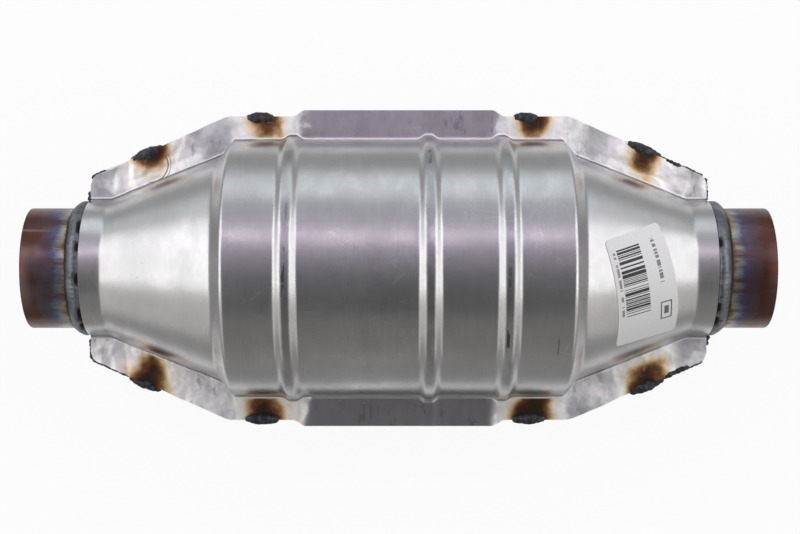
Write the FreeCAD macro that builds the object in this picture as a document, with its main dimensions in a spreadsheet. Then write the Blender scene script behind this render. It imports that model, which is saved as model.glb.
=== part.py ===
import FreeCAD, Part
import math
import os

import Sketcher

# A catalytic converter for an exhaust line, in millimetres.
# X runs along the gas flow, from the inlet at -X to the outlet at +X. Y lies across, in the plane where
# the two heat shields meet. Z is up, and the origin is the centre of the whole converter.
# An inner can carries the gas: pipe, cone, jacket with the wound foil core, cone, pipe. A fibre mat lies
# round the jacket, and two pressed heat shields, welded at their flanges, close over all of it.

SIZES = (
    # pipe stubs
    ("pipe_bore_radius", 25.0, "inside radius of a pipe stub"),
    ("pipe_wall", 2.0, "wall of a pipe stub"),
    ("pipe_reach", 26.2, "how far a stub stands out of the shields"),
    ("pipe_insertion", 9.8, "how far a stub goes into its cone"),
    ("rim_chamfer", 0.3, "broken outer edge of a stub's rim"),
    # inner can and foil core
    ("can_wall", 1.5, "sheet of the cones and the jacket"),
    ("slip_gap", 0.1, "radial play where one round piece slips over another"),
    ("core_radius", 49.45, "radius of the wound foil core"),
    ("core_length", 90.0, "length of the foil core"),
    ("braze_gap", 0.05, "film of braze between the foil and the jacket"),
    ("foil_layer", 4.0, "height of one layer, flat foil and corrugated foil"),
    ("foil_wave", 6.0, "length of one corrugation"),
    ("foil_wall", 0.4, "thickness of a foil wall"),
    ("core_eye_radius", 3.0, "radius at which the winding starts"),
    ("skirt_overlap", 6.0, "how far a cone's skirt reaches over the jacket"),
    ("skirt_margin", 2.0, "straight skirt left beyond the jacket's end"),
    ("skirt_setback", 6.5, "from the barrel's end back to where a cone starts to narrow"),
    ("neck_length", 10.8, "straight neck of a cone"),
    ("cone_bend", 4.0, "bend radius inside each bend of a cone"),
    # insulation
    ("mat_thickness", 4.4, "fibre mat between the jacket and the shields"),
    ("mat_gap", 0.05, "play of the mat on either side"),
    ("mat_wrap", 178.0, "how far round one mat goes, in degrees"),
    ("mat_setback", 9.0, "from the jacket's end back to the mat's edge"),
    # heat shields
    ("shield_wall", 1.5, "sheet of the heat shields"),
    ("shell_length", 277.6, "length of the heat shields"),
    ("barrel_length", 149.0, "length of their round barrel"),
    ("shoulder_length", 5.0, "length of the step between barrel and cone"),
    ("neck_gap", 0.2, "radial play between a cone's neck and the shields"),
    ("cone_gap", 0.6, "air between a cone and the shields"),
    ("neck_bend", 4.0, "bend radius where the shield's neck meets its cone"),
    ("foot_bend", 4.0, "bend radius at the foot of the shoulder"),
    ("crest_bend", 2.5, "bend radius at the top of the shoulder"),
    ("root_bend", 1.4, "bend radius between the shell and its flange"),
    # pressed ribs
    ("rib_height", 2.0, "height of a rib"),
    ("rib_foot_width", 9.5, "width of a rib at its foot"),
    ("rib_crest_width", 4.0, "width of a rib at its crest"),
    ("rib_foot_bend", 2.6, "bend radius at a rib's foot"),
    ("rib_crest_bend", 3.2, "bend radius at a rib's crest"),
    ("inlet_rib_place", -47.5, "X of the rib next to the inlet"),
    ("middle_rib_place", 13.5, "X of the middle rib"),
    ("outlet_rib_place", 46.5, "X of the rib next to the outlet"),
    # flanges
    ("flange_width", 14.2, "flange beside the middle of the barrel"),
    ("weld_flange_width", 11.4, "flange beside the ends of the barrel"),
    ("end_flange_width", 10.7, "flange beside the necks"),
    ("wide_flange_length", 86.0, "length of the widest stretch of flange"),
    ("flange_ease", 4.0, "length over which the flange narrows"),
    ("flange_corner", 2.5, "from the barrel's end on to the flange's corner"),
    ("flange_end_round", 5.0, "radius of a flange's outer corners at the necks"),
    ("flange_soft_round", 12.0, "radius of a flange's other corners"),
    # welds
    ("ring_weld_leg", 6.5, "length of the ring welds along the pipe"),
    ("ring_weld_rise", 0.3, "how far the ring welds stay below the shield's outside"),
    ("ring_weld_crown", 7.0, "radius of the ring welds' crown"),
    ("jacket_weld_leg", 1.8, "length of the jacket welds along the jacket"),
    ("jacket_weld_crown", 2.4, "radius of the jacket welds' crown"),
    ("tack_radius", 2.6, "radius of a lump of a tack weld"),
    ("tack_pitch", 2.6, "distance between the lumps of a tack weld"),
    ("barrel_tack_place", 60.0, "distance of the barrel tacks from the middle"),
    ("cone_tack_place", 112.5, "distance of the cone tacks from the middle"),
    ("seam_radius", 2.1, "radius of a lump of an end seam"),
    ("seam_pitch", 2.5, "distance between the lumps of an end seam"),
    # sticker
    ("label_length", 49.0, "sticker, along its long side"),
    ("label_width", 29.0, "sticker, along its short side"),
    ("label_round", 2.0, "corner radius of the sticker"),
    ("label_thickness", 0.15, "thickness of the sticker"),
    ("label_film", 0.03, "glue between the sticker and the shield"),
    ("label_place", 106.0, "X of the sticker's centre"),
    ("label_lean", 13.0, "how far round from the top the sticker's centre lies, in degrees"),
    ("label_turn", 10.5, "turn of the sticker on its cone, in degrees"),
)

PLACES_ALONG_TOP_EDGE = {"front": -1, "rear": 1}

doc = FreeCAD.newDocument("catalytic_converter")
sheet = doc.addObject("Spreadsheet::Sheet", "Dimensions")
for row, (alias, number, note) in enumerate(SIZES, start=1):
    sheet.set(f"A{row}", alias)
    sheet.set(f"B{row}", str(number))
    sheet.set(f"C{row}", note)
    sheet.setAlias(f"B{row}", alias)
doc.recompute()


class Cells:
    """Gives the expression that reads a named cell of the sheet, as in cell.pipe_wall."""

    def __getattr__(self, alias):
        return f"{sheet.Name}.{alias}"


cell = Cells()

# Sizes that follow from the sheet, as expressions, so that pieces that meet share them.
PIPE_OUTER = f"({cell.pipe_bore_radius} + {cell.pipe_wall})"
CONE_NECK = f"({PIPE_OUTER} + {cell.slip_gap} + {cell.can_wall})"
SHIELD_NECK = f"({CONE_NECK} + {cell.neck_gap} + {cell.shield_wall})"
JACKET_INNER = f"({cell.core_radius} + {cell.braze_gap})"
JACKET_OUTER = f"({JACKET_INNER} + {cell.can_wall})"
SKIRT_OUTER = f"({JACKET_OUTER} + {cell.slip_gap} + {cell.can_wall})"
MAT_INNER = f"({JACKET_OUTER} + {cell.mat_gap})"
MAT_OUTER = f"({MAT_INNER} + {cell.mat_thickness})"
BARREL_OUTER = f"({MAT_OUTER} + {cell.mat_gap} + {cell.shield_wall})"

SHELL_END = f"({cell.shell_length} / 2)"
BARREL_END = f"({cell.barrel_length} / 2)"
PIPE_END = f"({SHELL_END} + {cell.pipe_reach})"
CONE_START = f"({BARREL_END} - {cell.skirt_setback})"
CONE_STOP = f"({SHELL_END} - {cell.neck_length})"
JACKET_END = f"({CONE_START} - {cell.skirt_margin})"
SKIRT_START = f"({JACKET_END} - {cell.skirt_overlap})"
MAT_END = f"({JACKET_END} - {cell.mat_setback})"

# The shields' cones run parallel to the cones of the can, with the air gap between them.
CONE_SLOPE = f"(({SKIRT_OUTER} - {CONE_NECK}) / ({CONE_STOP} - {CONE_START}))"
CONE_TILT = f"atan({CONE_SLOPE})"
SHIELD_LIFT = f"(({cell.cone_gap} + {cell.shield_wall}) / cos({CONE_TILT}))"
SHOULDER_FOOT = f"({BARREL_END} + {cell.shoulder_length})"
SHIELD_BEND = f"({CONE_STOP} + ({CONE_NECK} + {SHIELD_LIFT} - {SHIELD_NECK}) / {CONE_SLOPE})"

# Flange edges, as distances from the middle line.
WIDE_EDGE = f"({BARREL_OUTER} + {cell.flange_width})"
WELD_EDGE = f"({BARREL_OUTER} + {cell.weld_flange_width})"
END_EDGE = f"({SHIELD_NECK} + {cell.end_flange_width})"
WIDE_END = f"({cell.wide_flange_length} / 2)"
EASE_END = f"({WIDE_END} + {cell.flange_ease})"
FLANGE_CORNER = f"({BARREL_END} + {cell.flange_corner})"
EDGE_SLOPE = f"(({WELD_EDGE} - {END_EDGE}) / ({SHELL_END} - {FLANGE_CORNER}))"
EDGE_TILT = f"atan({EDGE_SLOPE})"

HALF_TURN = FreeCAD.Rotation(FreeCAD.Vector(0, 0, 1), 180)
UPSIDE_DOWN = FreeCAD.Rotation(FreeCAD.Vector(1, 0, 0), 180)
NEAR = 1e-4


def value(expression):
    """The number that an expression gives with the sheet as it is."""
    result = sheet.evalExpression(expression)
    return float(getattr(result, "Value", result))


def shield_cone_radius(place):
    """Outer radius of the shields' cone at a distance from the middle."""
    return f"({CONE_NECK} + ({CONE_STOP} - {place}) * {CONE_SLOPE} + {SHIELD_LIFT})"


def sloping_edge(place):
    """Distance of the flange's sloping edge from the middle line."""
    return f"({WELD_EDGE} - ({place} - {FLANGE_CORNER}) * {EDGE_SLOPE})"


def new_body(label):
    body = doc.addObject("PartDesign::Body", label)
    body.Label = label
    return body


def origin_plane(body, role):
    return next(feature for feature in body.Origin.OriginFeatures if feature.Role == role)


def hold_point(sketch, line, end, across, up):
    """Ties one end of a line to its two distances from the sketch's origin."""
    for kind, distance, axis in (("DistanceX", across, -2), ("DistanceY", up, -1)):
        if distance == "0":
            sketch.addConstraint(Sketcher.Constraint("PointOnObject", line, end, axis))
            continue
        index = sketch.addConstraint(Sketcher.Constraint(kind, -1, 1, line, end, value(distance)))
        sketch.setExpression(f"Constraints[{index}]", distance)


def new_sketch(body, name, plane):
    sketch = body.newObject("Sketcher::SketchObject", name)
    sketch.AttachmentSupport = (origin_plane(body, plane), [""])
    sketch.MapMode = "FlatFace"
    return sketch


def closed_outline(body, name, plane, corners, rounds=None):
    """A closed sketch through corners, each an (across, up) pair of expressions.

    Its sides are straight, and rounds gives the radius of each corner that is rounded, by its number.
    """
    sketch = new_sketch(body, name, plane)
    rounds = rounds or {}
    points = [FreeCAD.Vector(value(across), value(up), 0) for across, up in corners]
    count = len(points)
    starts, ends, arcs = list(points), points[1:] + points[:1], {}
    for number, radius in rounds.items():
        point = points[number]
        back = (points[number - 1] - point).normalize()
        onward = (points[(number + 1) % count] - point).normalize()
        half_angle = back.getAngle(onward) / 2
        setback = value(radius) / math.tan(half_angle)
        ends[number - 1] = point + back * setback
        starts[number] = point + onward * setback
        centre = point + (back + onward).normalize() * (value(radius) / math.sin(half_angle))
        turns_left = back.cross(onward).z < 0
        pair = (ends[number - 1], starts[number]) if turns_left else (starts[number], ends[number - 1])
        spans = [math.atan2(end.y - centre.y, end.x - centre.x) for end in pair]
        circle = Part.Circle(centre, FreeCAD.Vector(0, 0, 1), value(radius))
        arcs[number] = (Part.ArcOfCircle(circle, *spans), (1, 2) if turns_left else (2, 1))
    sketch.addGeometry([Part.LineSegment(start, end) for start, end in zip(starts, ends)])
    for line, (across, up) in enumerate(corners):
        before = (line - 1) % count
        if line not in rounds:
            sketch.addConstraint(Sketcher.Constraint("Coincident", before, 2, line, 1))
            hold_point(sketch, line, 1, across, up)
            continue
        shape, (first, second) = arcs[line]
        arc = sketch.addGeometry(shape)
        sketch.addConstraint(Sketcher.Constraint("Tangent", before, 2, arc, first))
        sketch.addConstraint(Sketcher.Constraint("Tangent", arc, second, line, 1))
        index = sketch.addConstraint(Sketcher.Constraint("Radius", arc, value(rounds[line])))
        sketch.setExpression(f"Constraints[{index}]", rounds[line])
        corner = sketch.addGeometry(Part.Point(points[line]), True)
        hold_point(sketch, corner, 1, across, up)
        sketch.addConstraint(Sketcher.Constraint("PointOnObject", corner, 1, before))
        sketch.addConstraint(Sketcher.Constraint("PointOnObject", corner, 1, line))
    return sketch


def turned(body, name, sketch, kind="PartDesign::Revolution", angle=None):
    """A solid of revolution about X, all the way round or spread evenly about the sketch's plane."""
    feature = body.newObject(kind, name)
    feature.Profile = sketch
    feature.ReferenceAxis = (sketch, ["H_Axis"])
    if angle:
        feature.Midplane = True
        feature.setExpression("Angle", angle)
    else:
        feature.Angle = 360
    sketch.Visibility = False
    doc.recompute()
    return feature


def rounded(body, name, base, edges, radius):
    feature = body.newObject("PartDesign::Fillet", name)
    feature.Base = (base, edges)
    feature.setExpression("Radius", radius)
    doc.recompute()
    return feature


def edges_round_x(feature, corners):
    """Names of a shape's round edges about the X axis that pass through the given corners."""
    places = [(value(across), value(up)) for across, up in corners]
    names = []
    for number, edge in enumerate(feature.Shape.Edges, start=1):
        if edge.Degenerated or not isinstance(edge.Curve, Part.Circle):
            continue
        circle = edge.Curve
        if any(abs(circle.Center.x - x) < NEAR and abs(circle.Radius - r) < NEAR for x, r in places):
            names.append(f"Edge{number}")
    return names


def is_curved_in_section(face):
    """Whether a face is neither flat nor one of the flange's upright round corners."""
    surface = face.Surface
    if isinstance(surface, Part.Plane):
        return False
    return not (isinstance(surface, Part.Cylinder) and abs(surface.Axis.z) > 1 - NEAR)


def edges_at_wall(feature, height):
    """Names of the edges that lie at one height, where a flat face meets a turned one."""
    names = []
    for number, edge in enumerate(feature.Shape.Edges, start=1):
        box = edge.BoundBox
        if abs(box.ZMin - height) > NEAR or abs(box.ZMax - height) > NEAR:
            continue
        beside = feature.Shape.ancestorsOfType(edge, Part.Face)
        if any(is_curved_in_section(face) for face in beside):
            names.append(f"Edge{number}")
    return names


def mirrored(corners):
    """Corners given for +X, from the end inwards, carried on to -X."""
    return [(f"-{across}", up) for across, up in corners]


def inset(corners, wall):
    """The inner line of a pressed sheet, whose outer line runs from -X to +X and ends level."""
    inner = []
    last = len(corners) - 1
    for number, (across, up) in enumerate(corners):
        if number in (0, last):
            inner.append((across, f"({up} - {wall})"))
            continue
        across_before, up_before = corners[number - 1]
        across_after, up_after = corners[number + 1]
        rise_in = f"atan(({up} - {up_before}) / ({across} - {across_before}))"
        rise_out = f"atan(({up_after} - {up}) / ({across_after} - {across}))"
        lean = f"(({rise_in} + {rise_out}) / 2)"
        half_bend = f"(({rise_in} - {rise_out}) / 2)"
        shift = f"{wall} / cos{half_bend}"
        inner.append((f"({across} + {shift} * sin{lean})", f"({up} - {shift} * cos{lean})"))
    return inner


def to_axis(corners):
    """Closes an outline of revolution along the axis."""
    return [(corners[0][0], "0")] + corners + [(corners[-1][0], "0")]


def rib_corners(place):
    crest = f"({BARREL_OUTER} + {cell.rib_height})"
    half_foot = f"{cell.rib_foot_width} / 2"
    half_crest = f"{cell.rib_crest_width} / 2"
    return [
        (f"({place} - {half_foot})", BARREL_OUTER),
        (f"({place} - {half_crest})", crest),
        (f"({place} + {half_crest})", crest),
        (f"({place} + {half_foot})", BARREL_OUTER),
    ]


def flange_plate(body, name, both_ways=False):
    """Flat plate of the flanges' outline, with its corners rounded."""
    quarter = [
        (SHELL_END, END_EDGE),
        (FLANGE_CORNER, WELD_EDGE),
        (EASE_END, WELD_EDGE),
        (WIDE_END, WIDE_EDGE),
    ]
    half = quarter + mirrored(quarter)[::-1]
    corners = half + [(across, f"-{up}") for across, up in half[::-1]]
    rounds = {number: cell.flange_end_round for number in (0, 7, 8, 15)}
    rounds |= {number: cell.flange_soft_round for number in (1, 6, 9, 14)}
    sketch = closed_outline(body, f"{name}_outline", "XY_Plane", corners, rounds)
    plate = body.newObject("PartDesign::Pad", f"{name}_plate")
    plate.Profile = sketch
    plate.Midplane = both_ways
    thickness = f"2 * {cell.shield_wall}" if both_ways else cell.shield_wall
    plate.setExpression("Length", thickness)
    doc.recompute()
    return plate


def heat_shield(label):
    """One pressed half: necks, cones, shoulders and ribbed barrel in one sheet with its flange."""
    body = new_body(label)
    end = [
        (SHELL_END, SHIELD_NECK),
        (SHIELD_BEND, SHIELD_NECK),
        (SHOULDER_FOOT, shield_cone_radius(SHOULDER_FOOT)),
        (BARREL_END, BARREL_OUTER),
    ]
    ribs = []
    for place in (cell.inlet_rib_place, cell.middle_rib_place, cell.outlet_rib_place):
        ribs += rib_corners(place)
    outer = mirrored(end) + ribs + end[::-1]
    inner = inset(outer, cell.shield_wall)

    bends = {1: (cell.neck_bend, "+"), 2: (cell.foot_bend, "+"), 3: (cell.crest_bend, "-")}
    bends |= {len(outer) - 1 - number: bend for number, bend in bends.items()}
    for number in range(len(end), len(end) + len(ribs), 4):
        bends |= {corner: (cell.rib_foot_bend, "+") for corner in (number, number + 3)}
        bends |= {corner: (cell.rib_crest_bend, "-") for corner in (number + 1, number + 2)}
    # closing the line along the axis moves each corner up by one
    outer_rounds = {number + 1: radius for number, (radius, side) in bends.items()}
    inner_rounds = {
        number + 1: f"({radius} {side} {cell.shield_wall})" for number, (radius, side) in bends.items()
    }

    line = closed_outline(body, f"{label}_outer_line", "XZ_Plane", to_axis(outer), outer_rounds)
    turned(body, f"{label}_pressing", line, angle="180")
    plate = flange_plate(body, f"{label}_flange")
    roots = edges_at_wall(plate, value(cell.shield_wall))
    rounded(body, f"{label}_root", plate, roots, cell.root_bend)
    line = closed_outline(body, f"{label}_inner_line", "XZ_Plane", to_axis(inner), inner_rounds)
    hollow = turned(body, f"{label}_hollow", line, "PartDesign::Groove", "180")
    mouths = edges_at_wall(hollow, 0)
    rounded(body, f"{label}_mouth", hollow, mouths, f"{cell.root_bend} + {cell.shield_wall}")
    return body


def pipe_stub(label):
    body = new_body(label)
    start = f"({SHELL_END} - {cell.pipe_insertion})"
    corners = [
        (start, cell.pipe_bore_radius),
        (PIPE_END, cell.pipe_bore_radius),
        (PIPE_END, PIPE_OUTER),
        (start, PIPE_OUTER),
    ]
    sketch = closed_outline(body, f"{label}_section", "XZ_Plane", corners)
    tube = turned(body, f"{label}_tube", sketch)
    chamfer = body.newObject("PartDesign::Chamfer", f"{label}_rim")
    chamfer.Base = (tube, edges_round_x(tube, [(PIPE_END, PIPE_OUTER)]))
    chamfer.setExpression("Size", cell.rim_chamfer)
    doc.recompute()
    return body


def can_cone(label):
    """One cone of the inner can, with a skirt for the jacket and a neck for the pipe."""
    body = new_body(label)
    outer = [
        (SKIRT_START, SKIRT_OUTER),
        (CONE_START, SKIRT_OUTER),
        (CONE_STOP, CONE_NECK),
        (SHELL_END, CONE_NECK),
    ]
    inner = inset(outer, cell.can_wall)
    tight, wide = cell.cone_bend, f"({cell.cone_bend} + {cell.can_wall})"
    rounds = {1: wide, 2: tight, 5: wide, 6: tight}
    sketch = closed_outline(body, f"{label}_section", "XZ_Plane", outer + inner[::-1], rounds)
    turned(body, f"{label}_wall", sketch)
    return body


def sleeve(label, half_length, inner_radius, outer_radius, angle=None):
    """A round tube about the middle, or a part of its turn centred on the top."""
    body = new_body(label)
    corners = [
        (f"-{half_length}", inner_radius),
        (half_length, inner_radius),
        (half_length, outer_radius),
        (f"-{half_length}", outer_radius),
    ]
    sketch = closed_outline(body, f"{label}_section", "XZ_Plane", corners)
    turned(body, f"{label}_wall", sketch, angle=angle)
    return body


def ring_weld(label, face, low, high, leg, crown):
    """A bead in the corner between a round wall of radius low and a step up to high, crowned outwards.

    The step's face stands at X = face, and the bead runs from it by leg, towards +X or -X.
    """
    body = new_body(label)
    sketch = new_sketch(body, f"{label}_section", "XZ_Plane")
    toe = f"({face} + {leg})"
    root_point = FreeCAD.Vector(value(face), value(low), 0)
    top_point = FreeCAD.Vector(value(face), value(high), 0)
    toe_point = FreeCAD.Vector(value(toe), value(low), 0)
    # the crown's centre lies below the chord from toe to top
    chord = top_point - toe_point
    inwards = FreeCAD.Vector(0, 0, 1).cross(chord).normalize()
    if inwards.y > 0:
        inwards = -inwards
    depth = math.sqrt(value(crown) ** 2 - chord.Length**2 / 4)
    centre = (top_point + toe_point) / 2 + inwards * depth
    circle = Part.Circle(centre, FreeCAD.Vector(0, 0, 1), value(crown))
    spans = sorted(math.atan2(p.y - centre.y, p.x - centre.x) for p in (toe_point, top_point))
    starts_at_toe = value(leg) > 0
    sketch.addGeometry(Part.LineSegment(toe_point, root_point))
    sketch.addGeometry(Part.LineSegment(root_point, top_point))
    sketch.addGeometry(Part.ArcOfCircle(circle, spans[0], spans[1]))
    toe_end, top_end = (1, 2) if starts_at_toe else (2, 1)
    sketch.addConstraint(Sketcher.Constraint("Coincident", 0, 2, 1, 1))
    sketch.addConstraint(Sketcher.Constraint("Coincident", 1, 2, 2, top_end))
    sketch.addConstraint(Sketcher.Constraint("Coincident", 2, toe_end, 0, 1))
    hold_point(sketch, 0, 1, toe, low)
    hold_point(sketch, 1, 1, face, low)
    hold_point(sketch, 1, 2, face, high)
    index = sketch.addConstraint(Sketcher.Constraint("Radius", 2, value(crown)))
    sketch.setExpression(f"Constraints[{index}]", crown)
    turned(body, f"{label}_bead", sketch)
    return body


def foil_core(label):
    """The wound core, one roll of flat foil and corrugated foil: gas cells between spiral turns."""
    layer, wall, length = value(cell.foil_layer), value(cell.foil_wall), value(cell.core_length)
    eye, rim_radius = value(cell.core_eye_radius), value(cell.core_radius)
    half_wave = value(cell.foil_wave) / 2
    least_height = layer / 3

    def inner_foil(angle):
        return eye + layer * angle / (2 * math.pi) + wall / 2

    def outer_foil(angle):
        return min(inner_foil(angle) + layer - wall, rim_radius - wall)

    def point(angle, foil):
        radius = foil(angle)
        return FreeCAD.Vector(-length / 2, radius * math.cos(angle), radius * math.sin(angle))

    rim = Part.Circle(FreeCAD.Vector(-length / 2, 0, 0), FreeCAD.Vector(1, 0, 0), rim_radius)
    wires = [Part.Wire(rim.toShape())]
    angle, points_out = 0.0, True
    while outer_foil(angle) - inner_foil(angle) > least_height:
        # a cell is a triangle between two slanting walls of the corrugated foil
        middle = (inner_foil(angle) + outer_foil(angle)) / 2
        half_base = (half_wave - wall) / middle
        base, tip = (inner_foil, outer_foil) if points_out else (outer_foil, inner_foil)
        corners = [point(angle - half_base, base), point(angle + half_base, base), point(angle, tip)]
        sag = inner_foil(angle) * (1 - math.cos(half_base))
        if points_out and sag > wall / 4:
            corners.insert(1, point(angle, base))
        wires.append(Part.makePolygon(corners + corners[:1]))
        angle += half_wave / middle
        points_out = not points_out
    face = Part.makeFace(wires, "Part::FaceMakerBullseye")
    core = doc.addObject("Part::Feature", label)
    core.Label = label
    core.Shape = face.extrude(FreeCAD.Vector(length, 0, 0))
    return core


def lump_chain(label, lumps, radius):
    """A hand-laid bead of overlapping round lumps on the flanges' edge, cut to fit round the flanges."""
    spheres = []
    for number, (across, up) in enumerate(lumps):
        sphere = doc.addObject("Part::Sphere", f"{label}_lump_{number + 1}")
        swell = 1 + 0.08 * math.sin(2.4 * number)
        sphere.setExpression("Radius", f"{radius} * {swell:.3f}")
        sphere.setExpression("Placement.Base.x", across)
        sphere.setExpression("Placement.Base.y", up)
        spheres.append(sphere)
    bead = doc.addObject("Part::MultiFuse", f"{label}_bead")
    bead.Shapes = spheres
    weld = doc.addObject("Part::Cut", label)
    weld.Base = bead
    weld.Tool = flange_pair
    weld.Label = label
    return weld


def tack_weld(label, end, side, on_cone):
    """Four lumps at one place of the flanges' edge; end and side are the signs of X and Y."""
    lumps = []
    for step in (-1.5, -0.5, 0.5, 1.5):
        if on_cone:
            place = f"({cell.cone_tack_place} + {step} * {cell.tack_pitch} * cos({EDGE_TILT}))"
            edge = sloping_edge(place)
        else:
            place = f"({cell.barrel_tack_place} + {step} * {cell.tack_pitch})"
            edge = WELD_EDGE
        lumps.append((f"{end} * {place}", f"{side} * {edge}"))
    return lump_chain(label, lumps, cell.tack_radius)


def end_seam(label, end, side, along_slope, down_end):
    """A seam round one corner of the flanges: lumps along the slope, then down towards the neck."""
    lumps = []
    for step in range(along_slope, 0, -1):
        place = f"({SHELL_END} - {step} * {cell.seam_pitch} * cos({EDGE_TILT}))"
        lumps.append((f"{end} * {place}", f"{side} * {sloping_edge(place)}"))
    for step in range(down_end):
        lumps.append((f"{end} * {SHELL_END}", f"{side} * ({END_EDGE} - {step} * {cell.seam_pitch})"))
    return lump_chain(label, lumps, cell.seam_radius)


def sticker(label):
    """A paper sticker with round corners, wrapped on the upper shield's outlet cone."""
    low = f"({shield_cone_radius(SHOULDER_FOOT)} + {cell.label_film} / cos({CONE_TILT}))"
    band = new_body(f"{label}_band")
    fall = f"({SHIELD_BEND} - {SHOULDER_FOOT}) * {CONE_SLOPE}"
    rise = f"{cell.label_thickness} / cos({CONE_TILT})"
    corners = [
        (SHOULDER_FOOT, low),
        (SHIELD_BEND, f"({low} - {fall})"),
        (SHIELD_BEND, f"({low} - {fall} + {rise})"),
        (SHOULDER_FOOT, f"({low} + {rise})"),
    ]
    sketch = closed_outline(band, f"{label}_band_section", "XZ_Plane", corners)
    turned(band, f"{label}_band_wall", sketch, angle="170")

    cutter = new_body(f"{label}_cutter")
    half_width, half_length = f"({cell.label_width} / 2)", f"({cell.label_length} / 2)"
    across = (f"-{half_width}", half_width, half_width, f"-{half_width}")
    up = (f"-{half_length}", f"-{half_length}", half_length, half_length)
    rounds = {number: cell.label_round for number in range(4)}
    sketch = closed_outline(cutter, f"{label}_cutter_outline", "XY_Plane", list(zip(across, up)), rounds)
    plate = cutter.newObject("PartDesign::Pad", f"{label}_cutter_plate")
    plate.Profile = sketch
    plate.Midplane = True
    plate.setExpression("Length", f"{cell.core_radius}")
    doc.recompute()
    lean = FreeCAD.Rotation(FreeCAD.Vector(1, 0, 0), value(cell.label_lean))
    tilt = FreeCAD.Rotation(FreeCAD.Vector(0, 1, 0), value(CONE_TILT))
    turn = FreeCAD.Rotation(FreeCAD.Vector(0, 0, 1), value(cell.label_turn))
    radius = value(shield_cone_radius(cell.label_place))
    centre = FreeCAD.Vector(value(cell.label_place), 0, 0) + lean.multVec(FreeCAD.Vector(0, 0, radius))
    cutter.Placement = FreeCAD.Placement(centre, lean * tilt * turn)

    paper = doc.addObject("Part::Common", label)
    paper.Base = band
    paper.Tool = cutter
    paper.Label = label
    return paper


def at_inlet(piece):
    """Turns a piece that was modelled at the outlet round to the inlet."""
    piece.Placement = FreeCAD.Placement(FreeCAD.Vector(0, 0, 0), HALF_TURN)
    return piece


def below(piece):
    """Turns a piece that was modelled above the flanges' plane upside down."""
    piece.Placement = FreeCAD.Placement(FreeCAD.Vector(0, 0, 0), UPSIDE_DOWN)
    return piece


def build():
    pieces = [
        heat_shield("upper_heat_shield"),
        below(heat_shield("lower_heat_shield")),
        at_inlet(pipe_stub("inlet_pipe")),
        pipe_stub("outlet_pipe"),
        at_inlet(can_cone("inlet_cone")),
        can_cone("outlet_cone"),
        sleeve("core_jacket", JACKET_END, JACKET_INNER, JACKET_OUTER),
        foil_core("foil_core"),
        sleeve("upper_insulation_mat", MAT_END, MAT_INNER, MAT_OUTER, cell.mat_wrap),
        below(sleeve("lower_insulation_mat", MAT_END, MAT_INNER, MAT_OUTER, cell.mat_wrap)),
    ]
    shield_step = f"({SHIELD_NECK} - {cell.ring_weld_rise})"
    pipe_weld = (SHELL_END, PIPE_OUTER, shield_step, cell.ring_weld_leg, cell.ring_weld_crown)
    jacket_leg = f"-{cell.jacket_weld_leg}"
    jacket_weld = (SKIRT_START, JACKET_OUTER, SKIRT_OUTER, jacket_leg, cell.jacket_weld_crown)
    pieces += [
        at_inlet(ring_weld("inlet_pipe_weld", *pipe_weld)),
        ring_weld("outlet_pipe_weld", *pipe_weld),
        at_inlet(ring_weld("inlet_jacket_weld", *jacket_weld)),
        ring_weld("outlet_jacket_weld", *jacket_weld),
    ]
    for end_name, end in (("inlet", -1), ("outlet", 1)):
        for side_name, side in PLACES_ALONG_TOP_EDGE.items():
            pieces.append(tack_weld(f"{end_name}_{side_name}_cone_tack", end, side, True))
            pieces.append(tack_weld(f"{end_name}_{side_name}_barrel_tack", end, side, False))
    pieces += [
        end_seam("inlet_front_seam", -1, -1, 7, 3),
        end_seam("inlet_rear_seam", -1, 1, 3, 2),
        end_seam("outlet_front_seam", 1, -1, 7, 2),
        end_seam("outlet_rear_seam", 1, 1, 7, 4),
        sticker("label"),
    ]
    return pieces


def check(pieces):
    """Stops before anything is written if an object failed or a piece isn't a sound solid."""
    for thing in doc.Objects:
        if "Invalid" in thing.State or "Error" in thing.State:
            raise RuntimeError(f"{thing.Label} failed: {thing.State}")
    for piece in pieces:
        if piece.Shape.isNull() or not piece.Shape.isValid():
            raise RuntimeError(f"{piece.Label} has no sound shape")
        if len(piece.Shape.Solids) != 1:
            raise RuntimeError(f"{piece.Label} is {len(piece.Shape.Solids)} solids, not one")


flange_pair = new_body("flange_pair")
flange_plate(flange_pair, "pair", True)
sub_parts = build()
doc.recompute()
check(sub_parts)
os.makedirs("parts", exist_ok=True)
for sub_part in sub_parts:
    sub_part.Shape.exportStep(f"parts/{sub_part.Label}.step")
    print(f"{sub_part.Label}: {sub_part.Shape.Volume / 1000:.2f} cm3")
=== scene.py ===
import math
from functools import partialmethod, reduce

import bmesh
import bpy
import numpy as np
from mathutils import Matrix, Vector, noise


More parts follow.
